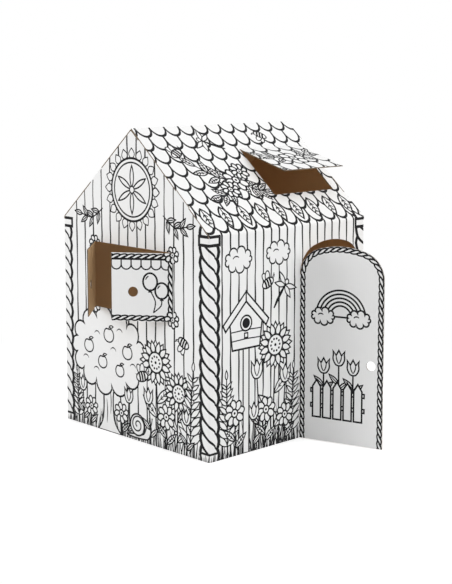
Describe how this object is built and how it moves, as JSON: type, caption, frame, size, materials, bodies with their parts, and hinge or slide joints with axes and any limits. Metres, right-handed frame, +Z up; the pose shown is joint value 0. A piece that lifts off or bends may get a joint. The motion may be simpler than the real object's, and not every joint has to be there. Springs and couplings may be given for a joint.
{
  "type": "cardboard playhouse",
  "caption": "Folded corrugated-board playhouse with a gabled roof, an arched door flap, a pair of window shutters in each gable and a roof hatch, white outside with black line print and kraft inside.",
  "frame": {"origin": "centre of the four walls' footprint, on the floor", "axes": "+Z up, X along the ridge, the door wall faces -Y and the front gable faces -X"},
  "size_m": [1.0915, 1.2006, 1.22],
  "materials": {
    "board": "matt white outer liner, kraft inner liner and cut edges",
    "ink": "matt black print on the white liner"
  },
  "bodies": {
    "house": {"house_sheet": "board"},
    "door": {"door": "board"},
    "left_shutter": {"left_shutter": "board"},
    "right_shutter": {"right_shutter": "board"},
    "back_left_shutter": {"back_left_shutter": "board"},
    "back_right_shutter": {"back_right_shutter": "board"},
    "hatch": {"roof_hatch": "board"}
  },
  "joints": [
    {"name": "door_crease", "type": "hinge", "parent": "house", "child": "door", "pos_m": [0.052, -0.432, 0.32], "axis": [0, 0, -1], "range_deg": [-73, 97]},
    {"name": "left_shutter_crease", "type": "hinge", "parent": "house", "child": "left_shutter", "pos_m": [-0.432, 0.236, 0.633], "axis": [0, 0, -1], "range_deg": [-45, 125]},
    {"name": "right_shutter_crease", "type": "hinge", "parent": "house", "child": "right_shutter", "pos_m": [-0.432, -0.236, 0.633], "axis": [0, 0, 1], "range_deg": [-38, 132]},
    {"name": "back_left_shutter_crease", "type": "hinge", "parent": "house", "child": "back_left_shutter", "pos_m": [0.432, -0.236, 0.633], "axis": [0, 0, -1], "range_deg": [-15, 155]},
    {"name": "back_right_shutter_crease", "type": "hinge", "parent": "house", "child": "back_right_shutter", "pos_m": [0.432, 0.236, 0.633], "axis": [0, 0, 1], "range_deg": [-15, 155]},
    {"name": "hatch_crease", "type": "hinge", "parent": "house", "child": "hatch", "pos_m": [0.209, -0.10988, 1.12538], "axis": [-1, 0, 0], "range_deg": [-25, 145]}
  ]
}
